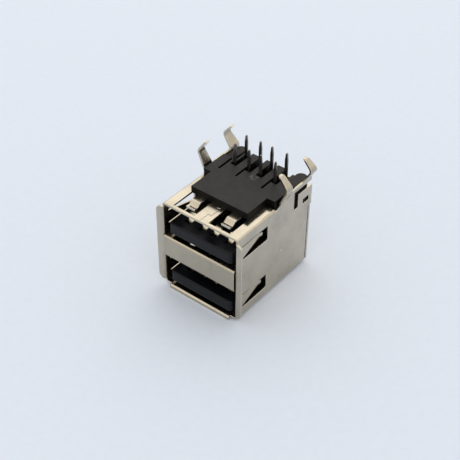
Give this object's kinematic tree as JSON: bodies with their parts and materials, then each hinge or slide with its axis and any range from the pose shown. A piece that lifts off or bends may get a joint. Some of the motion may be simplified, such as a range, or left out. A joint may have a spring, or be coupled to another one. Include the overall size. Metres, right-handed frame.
{
  "type": "stacked usb-a socket",
  "caption": "Stacked right-angle USB-A socket for a circuit board: folded metal shell with two mouths, tongues with spring contacts, board legs, and tails in a black organiser.",
  "frame": {"origin": "middle of the socket's width, on the plane of the front flanges, at the height of the surface that it lies on", "axes": "+X across the mouths, +Y from the mouths to the back, the way a plug goes in, +Z toward the board side with its tails and legs"},
  "size_m": [0.0154, 0.0174, 0.0198],
  "materials": {
    "shell_metal": "bright plated sheet",
    "housing_plastic": "smooth moulded",
    "organiser_plastic": "matt moulded",
    "contact_metal": "tin plated, slightly dull"
  },
  "bodies": {
    "root": {"front_shell": "shell_metal", "rear_cover": "shell_metal", "middle_shield": "shell_metal", "housing": "housing_plastic", "tail_organiser": "organiser_plastic", "upper_contact_1": "contact_metal", "upper_contact_2": "contact_metal", "upper_contact_3": "contact_metal", "upper_contact_4": "contact_metal", "lower_contact_1": "contact_metal", "lower_contact_2": "contact_metal", "lower_contact_3": "contact_metal", "lower_contact_4": "contact_metal"}
  },
  "joints": []
}
